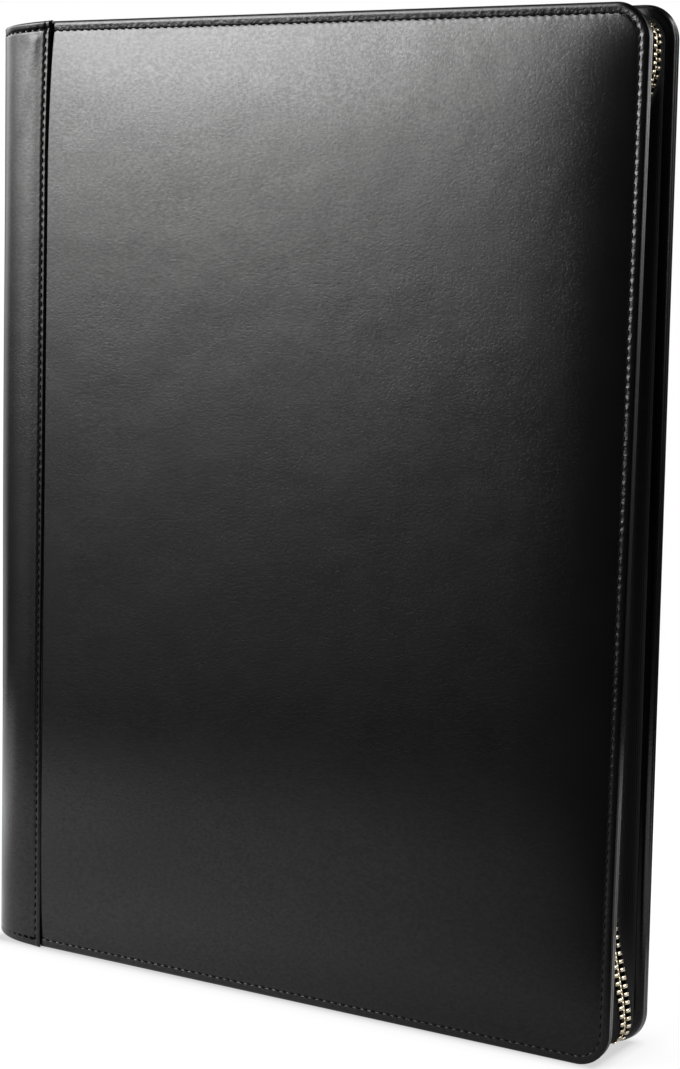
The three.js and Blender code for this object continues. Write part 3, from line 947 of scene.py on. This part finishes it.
def zip_teeth():
    rear = one_tooth()
    front = copy_of(rear, "tooth_front")
    points = points_of(front)
    points[:, 0] = TOOTH_PITCH / 2 - points[:, 0]
    points[:, 1] *= -1
    move_points(front, points)
    teeth = join_pieces([rear, front], "zip_teeth")
    start = CHAIN_TOP_X - TAPE_END_X
    end = EDGE_LENGTH - (CHAIN_BOTTOM_X - TAPE_END_X)
    array_along(teeth, int((end - start) / TOOTH_PITCH), TOOTH_PITCH)
    along, across, out = points_of(teeth).T
    along = along + start + TOOTH_PITCH / 2
    inset, y = chain_frame(along, across, -out)
    move_points(teeth, zip_point(along, inset, y))
    shade_smooth(teeth, math.radians(50))
    return teeth


def slider_plate(name, out):
    """One plate of the slider: a rounded nose at the closed end, and rails turned in over the chain."""
    plate = SLIDER_PLATE
    middle = (SLIDER_X, 0, out * (SLIDER_GAP + plate["thickness"]) / 2)
    body = add_block(name, (plate["length"], plate["width"], plate["thickness"]), middle)
    nose_x = SLIDER_X - plate["length"] / 2
    half_width = plate["width"] / 2

    def level_side(a, b):
        return abs(abs(a.y) - half_width) < TINY and a.y * b.y > 0 and abs(a.z - b.z) < TINY

    def nose_corner(a, b):
        return max(a.x, b.x) < nose_x + TINY and abs(a.z - b.z) > TINY and abs(a.y) > TINY

    bpy.ops.object.mode_set(mode="EDIT")
    select_edges(body, level_side)
    bpy.ops.mesh.subdivide(number_cuts=1)
    select_faces(body, lambda face: face.normal.z * out < -0.99)
    bpy.ops.mesh.inset(thickness=plate["rail"])
    bpy.ops.transform.translate(value=(0, 0, out * plate["rail_depth"]))
    select_edges(body, nose_corner)
    bpy.ops.mesh.bevel(offset=plate["nose_round"], segments=5, affect="EDGES")
    bpy.ops.object.mode_set(mode="OBJECT")
    return body


def open_through(piece, side, margin):
    """In edit mode, opens a piece from one side to the other, leaving a margin round the opening."""
    select_faces(piece, lambda face: abs(face.normal.dot(side)) > 0.99)
    bpy.ops.mesh.inset(thickness=margin, use_individual=True)
    bpy.ops.mesh.bridge_edge_loops()


def slider_bail():
    """The arch on the slider that holds its pull."""
    bail = SLIDER_BAIL
    base = SLIDER_GAP / 2 + SLIDER_PLATE["thickness"] / 2
    arch = add_block(
        "slider_bail", (bail["length"], bail["width"], bail["top"] - base),
        (SLIDER_X, 0, (bail["top"] + base) / 2),
    )
    bpy.ops.object.mode_set(mode="EDIT")
    open_through(arch, Vector((0, 1, 0)), bail["bar"])
    bpy.ops.object.mode_set(mode="OBJECT")
    return arch


def slider_pull():
    """The pull: an eye that hangs in the bail, a waist, and a tab with a slot at its end."""
    pull = SLIDER_PULL
    low = SLIDER_GAP / 2 + SLIDER_PLATE["thickness"] + pull["lift"]
    eye = add_block(
        "slider_pull", (pull["eye_length"], pull["eye_width"], pull["thickness"]),
        (SLIDER_X + pull["eye_length"] / 2, 0, low + pull["thickness"] / 2),
    )
    bpy.ops.object.mode_set(mode="EDIT")
    open_through(eye, Vector((0, 0, 1)), pull["eye_bar"])
    eye_end = SLIDER_X + pull["eye_length"] - TINY
    select_faces(eye, lambda face: face.normal.x > 0.99 and face.calc_center_median().x > eye_end)
    steps = (
        # further along, in millimetres, and the width's share of the last one
        (1.2, 0.62),
        (1.4, 1.0),
        (3.0, 1.9),
        (10.5, 1.1),
        (5.4, 0.8),
    )
    for length, widening in steps:
        bpy.ops.mesh.extrude_region_move(TRANSFORM_OT_translate={"value": (length * MM, 0, 0)})
        bpy.ops.transform.resize(value=(1, widening, 1))
    tab_end = SLIDER_X + pull["eye_length"] + sum(length for length, _ in steps) * MM
    select_edges(eye, lambda a, b: min(a.x, b.x) > tab_end - TINY and abs(a.z - b.z) > TINY)
    bpy.ops.mesh.bevel(offset=pull["end_round"], segments=5, affect="EDGES")
    slot_start = tab_end - (steps[-1][0] + steps[-2][0]) * MM
    slot_end = tab_end - pull["slot_from_end"]

    def round_slot(face):
        return abs(face.normal.z) > 0.99 and slot_start < face.calc_center_median().x < slot_end

    select_faces(eye, round_slot)
    bpy.ops.mesh.inset(thickness=pull["slot_margin"], use_individual=True)
    bpy.ops.mesh.bridge_edge_loops()
    bpy.ops.object.mode_set(mode="OBJECT")
    return eye


def zip_slider():
    """The slider at the closed end of the zip, its pull laid along the chain."""
    post_height = SLIDER_GAP + SLIDER_PLATE["thickness"]
    post = add_block("slider_post", (SLIDER_POST, SLIDER_POST, post_height), (SLIDER_POST_X, 0, 0))
    plates = [slider_plate("plate_out", 1), slider_plate("plate_in", -1)]
    slider = join_pieces(plates + [post, slider_bail(), slider_pull()], "zip_slider_brass")
    apply_modifier(
        slider, "BEVEL", width=0.2 * MM, segments=2, limit_method="ANGLE", angle_limit=math.radians(40),
    )
    place = Vector((CHAIN_TOP_X, 0, HEIGHT - CHAIN_INSET_BETWEEN))
    move_points(slider, points_of(slider) + np.array(place))
    shade_smooth(slider, math.radians(35))
    return slider


def tape_line(along, share, side):
    """Inset and Y of a tape's middle line, from the chain (share 0) to the sewn flange (share 1)."""
    edge = zip_point(along, 0, 0 * along)
    on_cover = cover_half(edge[:, 0], edge[:, 2]) - COVER_THICKNESS - CLEARANCE - TAPE_WALL / 2
    zero = 0 * along
    corners = [
        chain_frame(along, zero + side * (CHAIN_HALF_WIDTH - TAPE_UNDER_TEETH), zero),
        chain_frame(along, zero + side * TAPE_FLAT, zero),
        (zero + TAPE_TURN_INSET, side * (on_cover - TAPE_TURN)),
        (zero + TAPE_TURN_INSET, side * on_cover),
        (zero + TAPE_FLANGE_INSET, side * on_cover),
    ]
    insets = np.array([corner[0] for corner in corners])
    heights = np.array([corner[1] for corner in corners])
    lengths = np.hypot(np.diff(insets, axis=0), np.diff(heights, axis=0))
    ends = np.vstack((zero, np.cumsum(lengths, axis=0)))
    at = share * ends[-1]
    inset = zero + insets[0]
    y = zero + heights[0]
    for step in range(len(lengths)):
        part = np.clip((at - ends[step]) / lengths[step], 0, 1)
        inset = inset + part * (insets[step + 1] - insets[step])
        y = y + part * (heights[step + 1] - heights[step])
    return inset, y


def zip_tape(name, side):
    deselect_all()
    bpy.ops.mesh.primitive_grid_add(x_subdivisions=TAPE_COLUMNS, y_subdivisions=TAPE_ROWS, size=2)
    tape = bpy.context.object
    tape.name = name
    points = points_of(tape)
    along = EDGE_LENGTH * (points[:, 0] + 1) / 2
    share = (points[:, 1] + 1) / 2
    insets = []
    heights = []
    for shift in (-1, -0.5, 0, 0.5, 1):
        inset, y = tape_line(along, np.clip(share + shift * TAPE_SOFT, 0, 1), side)
        insets.append(inset)
        heights.append(y)
    move_points(tape, zip_point(along, np.mean(insets, axis=0), np.mean(heights, axis=0)))
    apply_modifier(tape, "SOLIDIFY", thickness=TAPE_WALL, offset=0)
    bpy.ops.object.mode_set(mode="EDIT")
    bpy.ops.mesh.select_all(action="SELECT")
    bpy.ops.mesh.normals_make_consistent(inside=False)
    bpy.ops.object.mode_set(mode="OBJECT")
    shade_smooth(tape, math.radians(50))
    return tape


# Materials
def new_material(name):
    material = bpy.data.materials.new(name)
    material.use_nodes = True
    return material, material.node_tree, material.node_tree.nodes["Principled BSDF"]


def set_input(tree, socket, value):
    """Links an input to another node's output, or gives it a plain value."""
    if isinstance(value, bpy.types.NodeSocket):
        tree.links.new(value, socket)
    else:
        socket.default_value = value


def add_node(tree, kind, settings=None, **inputs):
    """A node with its settings and its inputs."""
    node = tree.nodes.new(kind)
    for name, value in (settings or {}).items():
        setattr(node, name, value)
    for name, value in inputs.items():
        set_input(tree, node.inputs[name.replace("_", " ")], value)
    return node


def calculate(tree, operation, *values):
    """The result of a Math node over sockets or plain numbers."""
    node = add_node(tree, "ShaderNodeMath", {"operation": operation})
    for socket, value in zip(node.inputs, values):
        set_input(tree, socket, value)
    return node.outputs[0]


def tint_between(tree, value, dark, pale, places=(0, 1)):
    """A colour between two, by a value."""
    ramp = add_node(tree, "ShaderNodeValToRGB", None, Fac=value)
    for stop, place, colour in zip(ramp.color_ramp.elements, places, (dark, pale)):
        stop.position = place
        stop.color = (*colour, 1)
    return ramp.outputs["Color"]


def map_range(tree, value, low, high):
    node = add_node(tree, "ShaderNodeMapRange", None, Value=value, To_Min=low, To_Max=high)
    return node.outputs["Result"]


def leather_material():
    """Smooth black leather with a fine grain drawn out sideways, soft unevenness and a low gloss."""
    material, tree, shader = new_material("black_leather")
    place = add_node(tree, "ShaderNodeTexCoord").outputs["Object"]
    drawn = add_node(tree, "ShaderNodeMapping", None, Vector=place, Scale=(0.8, 0.8, 1)).outputs["Vector"]
    pores = add_node(tree, "ShaderNodeTexNoise", None, Vector=drawn, Scale=1500, Detail=2, Roughness=0.55)
    grain = add_node(tree, "ShaderNodeTexNoise", None, Vector=drawn, Scale=1200, Detail=3, Roughness=0.55)
    clouds = add_node(tree, "ShaderNodeTexNoise", None, Vector=place, Scale=30, Detail=2, Roughness=0.45)
    wear = add_node(tree, "ShaderNodeTexNoise", None, Vector=place, Scale=60, Detail=3, Roughness=0.5)
    soft = add_node(
        tree, "ShaderNodeBump", None, Strength=0.16, Distance=0.0012, Height=clouds.outputs["Fac"],
    )
    fine = add_node(
        tree, "ShaderNodeBump", None, Strength=0.15, Distance=0.0001,
        Height=grain.outputs["Fac"], Normal=soft.outputs["Normal"],
    )
    pits = add_node(
        tree, "ShaderNodeMapRange", None, Value=pores.outputs["Fac"], From_Min=0.34, From_Max=0.46,
    )
    finest = add_node(
        tree, "ShaderNodeBump", None, Strength=0.14, Distance=0.00006,
        Height=pits.outputs["Result"], Normal=fine.outputs["Normal"],
    )
    folds = add_node(tree, "ShaderNodeTexNoise", None, Vector=place, Scale=640, Detail=2, Roughness=0.6)
    puckered = add_node(tree, "ShaderNodeAttribute", {"attribute_name": "puckered"}).outputs["Fac"]
    puckers = add_node(
        tree, "ShaderNodeBump", None, Strength=puckered, Distance=0.00013,
        Height=folds.outputs["Fac"], Normal=finest.outputs["Normal"],
    )
    tree.links.new(puckers.outputs["Normal"], shader.inputs["Normal"])
    tree.links.new(map_range(tree, wear.outputs["Fac"], 0.14, 0.18), shader.inputs["Roughness"])
    tint = tint_between(tree, wear.outputs["Fac"], (0.0032, 0.0031, 0.0032), (0.0046, 0.0044, 0.0044))
    tree.links.new(tint, shader.inputs["Base Color"])
    mottled = add_node(tree, "ShaderNodeMapping", None, Vector=place, Scale=(0.6, 0.8, 1)).outputs["Vector"]
    sheen = add_node(tree, "ShaderNodeTexNoise", None, Vector=mottled, Scale=1100, Detail=2, Roughness=0.6)
    gloss = add_node(
        tree, "ShaderNodeMapRange", None, Value=sheen.outputs["Fac"],
        From_Min=0.32, From_Max=0.68, To_Min=0.42, To_Max=0.58,
    )
    tree.links.new(gloss.outputs["Result"], shader.inputs["Specular IOR Level"])
    shader.inputs["IOR"].default_value = 1.5
    return material


def thread_material():
    """Black waxed thread, twisted."""
    material, tree, shader = new_material("black_thread")
    place = add_node(tree, "ShaderNodeTexCoord").outputs["Object"]
    fibres = add_node(tree, "ShaderNodeTexNoise", None, Vector=place, Scale=2600, Detail=2)
    bump = add_node(
        tree, "ShaderNodeBump", None, Strength=0.35, Distance=0.0001, Height=fibres.outputs["Fac"],
    )
    tree.links.new(bump.outputs["Normal"], shader.inputs["Normal"])
    # The base colour follows the same noise as the bump: partly the thread's own uneven tone, partly
    # painted shade where the fibres lie low
    tint = tint_between(tree, fibres.outputs["Fac"], (0.002, 0.002, 0.002), (0.010, 0.009, 0.008))
    tree.links.new(tint, shader.inputs["Base Color"])
    shader.inputs["Roughness"].default_value = 0.6
    shader.inputs["Specular IOR Level"].default_value = 0.05
    return material


def brass_material():
    """Pale polished brass, a little worn."""
    material, tree, shader = new_material("pale_brass")
    place = add_node(tree, "ShaderNodeTexCoord").outputs["Object"]
    wear = add_node(tree, "ShaderNodeTexNoise", None, Vector=place, Scale=420, Detail=3)
    tint = tint_between(tree, wear.outputs["Fac"], (0.74, 0.62, 0.42), (0.93, 0.85, 0.68), (0.3, 0.62))
    tree.links.new(tint, shader.inputs["Base Color"])
    tree.links.new(map_range(tree, wear.outputs["Fac"], 0.16, 0.32), shader.inputs["Roughness"])
    shader.inputs["Metallic"].default_value = 1
    return material


def tape_material():
    """Black woven zip tape: ribs along it, crossed by a finer weave."""
    material, tree, shader = new_material("black_zip_tape")
    lay = add_node(tree, "ShaderNodeTexCoord").outputs["UV"]
    in_millimetres = (EDGE_LENGTH / MM, TAPE_WIDTH / MM, 1)
    place = add_node(tree, "ShaderNodeMapping", None, Vector=lay, Scale=in_millimetres)
    ribs = add_node(
        tree, "ShaderNodeTexWave", {"bands_direction": "X"}, Vector=place.outputs["Vector"],
        Scale=0.55, Distortion=0.6, Detail=1,
    )
    weave = add_node(
        tree, "ShaderNodeTexWave", {"bands_direction": "Y"}, Vector=place.outputs["Vector"],
        Scale=0.4, Distortion=0.6, Detail=1,
    )
    height = calculate(tree, "MULTIPLY", ribs.outputs["Fac"], weave.outputs["Fac"])
    bump = add_node(tree, "ShaderNodeBump", None, Strength=0.6, Distance=0.0002, Height=height)
    tree.links.new(bump.outputs["Normal"], shader.inputs["Normal"])
    # The base colour follows the weave's height, darker in its hollows and paler on its raised threads:
    # painted shade
    tint = tint_between(tree, height, (0.003, 0.003, 0.0035), (0.012, 0.012, 0.013))
    tree.links.new(tint, shader.inputs["Base Color"])
    shader.inputs["Roughness"].default_value = 0.85
    shader.inputs["Specular IOR Level"].default_value = 0.25
    return material


def finish_piece(piece, material, slot, *nodes):
    """Gives a finished piece its material and its place in the frame."""
    piece.data.materials.clear()
    piece.data.materials.append(material)
    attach(piece, "root")
    if nodes:
        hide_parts(*nodes)


# Stage
def floor_distance(tree, place, middle):
    away = add_node(tree, "ShaderNodeVectorMath", {"operation": "DISTANCE"})
    tree.links.new(place, away.inputs[0])
    away.inputs[1].default_value = middle
    return away.outputs["Value"]


def footprint_distance(tree, place):
    """How far a point of the floor lies outside the rectangle that the object stands on."""
    value = place
    for operation, other in (("ABSOLUTE", None), ("SUBTRACT", FOOTPRINT), ("MAXIMUM", (0, 0, 0))):
        step = add_node(tree, "ShaderNodeVectorMath", {"operation": operation})
        tree.links.new(value, step.inputs[0])
        if other:
            step.inputs[1].default_value = other
        value = step.outputs["Vector"]
    length = add_node(tree, "ShaderNodeVectorMath", {"operation": "LENGTH"})
    tree.links.new(value, length.inputs[0])
    return length.outputs["Value"]


def share_by_value(tree, value, low, high, table):
    """A grey ramp over a value, from a table of values and shares."""
    place = add_node(tree, "ShaderNodeMapRange", None, Value=value, From_Min=low, From_Max=high)
    ramp = add_node(tree, "ShaderNodeValToRGB", None, Fac=place.outputs["Result"])
    stops = ramp.color_ramp.elements
    while len(stops) < len(table):
        stops.new(1)
    for stop, (at, share) in zip(stops, table):
        stop.position = (at - low) / (high - low)
        stop.color = (share, share, share, 1)
    return ramp.outputs["Color"]


def by_sight(tree, unseen, seen):
    """One value for the light that the object catches, another for what the camera sees directly."""
    sight = add_node(tree, "ShaderNodeLightPath").outputs["Is Camera Ray"]
    choice = add_node(tree, "ShaderNodeMix", {"data_type": "FLOAT"})
    for number, value in ((0, sight), (2, unseen), (3, seen)):
        set_input(tree, choice.inputs[number], value)
    return choice.outputs[0]


def share_by_footprint(tree, place, table):
    """A grey ramp over the distance from the footprint, from a table of millimetres and shares."""
    in_metres = [(away * MM, share) for away, share in table]
    return share_by_value(tree, footprint_distance(tree, place), 0, in_metres[-1][0], in_metres)


def add_spots(tree, place, base, table):
    """A base value plus soft round spots on the floor, from a table of middles, radii and strengths."""
    total = base
    for middle, full, reach, strength in table:
        spot = add_node(
            tree, "ShaderNodeMapRange", {"interpolation_type": "SMOOTHSTEP"},
            Value=floor_distance(tree, place, middle),
            From_Min=full, From_Max=reach, To_Min=strength, To_Max=0,
        )
        total = calculate(tree, "ADD", spot.outputs["Result"], total)
    return total


def add_floor():
    """A pale round floor, almost white to the camera but for a painted contact shadow round the footprint,
    with pools of light painted on it.
    """
    deselect_all()
    bpy.ops.mesh.primitive_circle_add(
        vertices=96, radius=FLOOR_RADIUS, fill_type="NGON", location=(0, 0, -FLOOR_GAP),
    )
    floor = bpy.context.object
    floor.name = "floor"
    material, tree, shader = new_material("pale_floor")
    shader.inputs["Roughness"].default_value = 0.8
    shader.inputs["Specular IOR Level"].default_value = 0
    place = add_node(tree, "ShaderNodeTexCoord").outputs["Object"]
    # For the object, the floor's albedo is dark as painted shade but for the painted pools of light; the
    # camera sees an even pale albedo
    albedo = by_sight(tree, add_spots(tree, place, FLOOR_ALBEDO, FLOOR_PAINTED_LIGHT_POOLS), FLOOR_SEEN_ALBEDO)
    tree.links.new(albedo, shader.inputs["Base Color"])
    bounce = share_by_footprint(tree, place, FLOOR_BOUNCE)
    # The camera sees the floor glow white, but for a painted contact shadow round the footprint
    seen_glow_and_painted_shadow = share_by_footprint(tree, place, FLOOR_GLOW_AND_PAINTED_SHADOW)
    glow = by_sight(tree, add_spots(tree, place, bounce, FLOOR_LIGHTS), seen_glow_and_painted_shadow)
    shader.inputs["Emission Color"].default_value = (1, 1, 1, 1)
    tree.links.new(glow, shader.inputs["Emission Strength"])
    floor.data.materials.append(material)


def share_by_angle(tree, angle, reach, table):
    """A grey ramp over an angle in radians, from a table of degrees and shares."""
    in_radians = [(math.radians(degrees), share) for degrees, share in table]
    return share_by_value(tree, angle, -math.radians(reach), math.radians(reach), in_radians)


def set_world():
    """A soft tent of light round the object, and plain white behind it for the camera."""
    world = bpy.data.worlds.new("tent")
    bpy.context.scene.world = world
    world.use_nodes = True
    tree = world.node_tree
    towards = add_node(tree, "ShaderNodeTexCoord").outputs["Generated"]
    way = add_node(tree, "ShaderNodeSeparateXYZ", None, Vector=towards)
    height = calculate(tree, "ARCSINE", way.outputs["Z"])
    turn = calculate(tree, "ARCTAN2", way.outputs["X"], calculate(tree, "MULTIPLY", way.outputs["Y"], -1))
    by_height = share_by_angle(tree, height, 90, TENT_BY_HEIGHT)
    by_turn = share_by_angle(tree, turn, 180, TENT_BY_TURN)
    side_glow = share_by_angle(tree, turn, 180, SIDE_GLOW)
    cloth_folds = add_node(
        tree, "ShaderNodeTexNoise", None, Vector=towards, Scale=TENT_CLOTH["scale"], Detail=1,
    )
    uneven_cloth = map_range(
        tree, cloth_folds.outputs["Fac"],
        TENT_BRIGHTNESS * TENT_CLOTH["darkest"], TENT_BRIGHTNESS * TENT_CLOTH["brightest"],
    )
    tent = calculate(tree, "MULTIPLY_ADD", by_height, by_turn, side_glow)
    strength = by_sight(tree, calculate(tree, "MULTIPLY", tent, uneven_cloth), 1)
    tree.links.new(strength, tree.nodes["Background"].inputs["Strength"])
    tree.nodes["Background"].inputs["Color"].default_value = (1, 1, 1, 1)


def set_camera():
    data = bpy.data.cameras.new("photo_camera")
    camera = bpy.data.objects.new("photo_camera", data)
    bpy.context.scene.collection.objects.link(camera)
    data.sensor_width = SENSOR
    data.lens = FOCAL_PIXELS / IMAGE_HEIGHT * SENSOR
    turn, lift = CAMERA_AZIMUTH, CAMERA_ELEVATION
    back = Vector((math.sin(turn) * math.cos(lift), -math.cos(turn) * math.cos(lift), math.sin(lift)))
    level_right = Vector((math.cos(turn), math.sin(turn), 0))
    level_up = back.cross(level_right)
    right = math.cos(CAMERA_ROLL) * level_right + math.sin(CAMERA_ROLL) * level_up
    up = -math.sin(CAMERA_ROLL) * level_right + math.cos(CAMERA_ROLL) * level_up
    axes = Matrix((right, up, back)).transposed().to_4x4()
    camera.matrix_world = Matrix.Translation(CAMERA_PLACE) @ axes
    bpy.context.scene.camera = camera


# The pieces
leather = leather_material()
thread = thread_material()
brass = brass_material()
cloth = tape_material()

front_cover = flat_cover("front_cover_leather")
rear_cover = copy_of(front_cover, "rear_cover_leather")
for cover, stand, node in (
    (front_cover, stand_front, "front_cover"),
    (rear_cover, stand_rear, "rear_cover"),
):
    move_points(cover, stand(points_of(cover)))
    shade_smooth(cover)
    finish_piece(cover, leather, "leather", node)

finish_piece(spine_panel(), leather, "leather", "spine_panel")

stitch = one_stitch()
finish_piece(cover_stitches(stitch, "front_cover_stitches", stand_front), thread, "leather")
finish_piece(cover_stitches(stitch, "rear_cover_stitches", stand_rear), thread, "leather")
finish_piece(spine_stitches(stitch), thread, "leather")
bpy.data.objects.remove(stitch)

finish_piece(zip_teeth(), brass, "zip_metal", "zip_chain")
for name, side, node, cover in (
    ("zip_tape_front_cloth", FRONT, "zip_tape_front", front_cover),
    ("zip_tape_rear_cloth", REAR, "zip_tape_rear", rear_cover),
):
    tape = zip_tape(name, side)
    finish_piece(tape, cloth, "zip_tape", node)

finish_piece(zip_slider(), brass, "zip_metal", "zip_slider")

add_floor()
set_world()
set_camera()
bpy.context.scene.view_settings.view_transform = "Standard"
